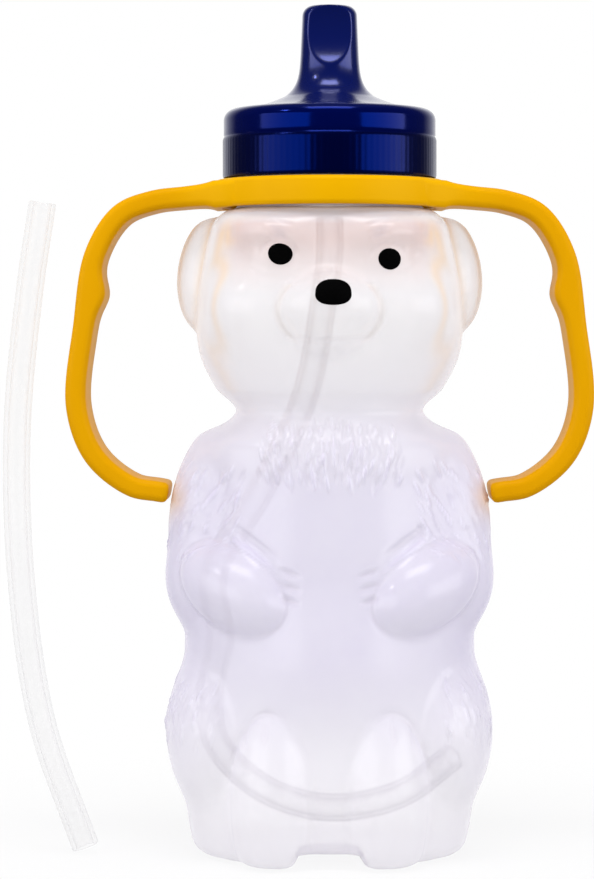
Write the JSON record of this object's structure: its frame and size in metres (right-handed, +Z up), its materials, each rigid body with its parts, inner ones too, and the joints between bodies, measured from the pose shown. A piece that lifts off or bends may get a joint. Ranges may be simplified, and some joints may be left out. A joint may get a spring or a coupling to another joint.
{
  "type": "straw cup",
  "caption": "Bear-shaped see-through squeeze cup with a screw-on spout lid, a straw inside, a handled collar that turns round the neck, and a spare straw beside it.",
  "frame": {"origin": "middle of the flat base, on the floor, under the neck's axis", "axes": "+Z up along the neck's axis; the bear faces -Y; +X is the bear's left, the viewer's right; the handles reach along X"},
  "size_m": [0.112, 0.0525, 0.1609],
  "materials": {
    "bottle_plastic": "milky see-through blow-moulded polyethylene, glossy",
    "black_ink": "black pad print",
    "yellow_plastic": "glossy yellow moulded plastic",
    "blue_plastic": "glossy royal blue moulded plastic",
    "soft_seal": "translucent white silicone rubber",
    "straw_plastic": "clear flexible tube"
  },
  "bodies": {
    "bottle": {"bear_bottle": "bottle_plastic", "eye_left": "black_ink", "eye_right": "black_ink", "nose": "black_ink", "drinking_straw": "straw_plastic", "spare_straw": "straw_plastic"},
    "handles": {"handle_collar": "yellow_plastic"},
    "lid_seal": {"lid_gasket": "soft_seal", "straw_grommet": "soft_seal"},
    "lid": {"spout_lid": "blue_plastic"}
  },
  "joints": [
    {"name": "collar_turn", "type": "hinge", "parent": "bottle", "child": "handles", "pos_m": [0, 0, 0.125], "axis": [0, 0, 1], "continuous": true},
    {"name": "lid_rise", "type": "slide", "parent": "bottle", "child": "lid_seal", "axis": [0, 0, 1], "range_m": [0, 0.00636]},
    {"name": "lid_turn", "type": "hinge", "parent": "lid_seal", "child": "lid", "pos_m": [0, 0, 0.135], "axis": [0, 0, 1], "range_deg": [0, 540]}
  ],
  "couplings": [
    {"joint": "lid_rise", "follows": "lid_turn", "m_per_rad": 0.000674}
  ]
}
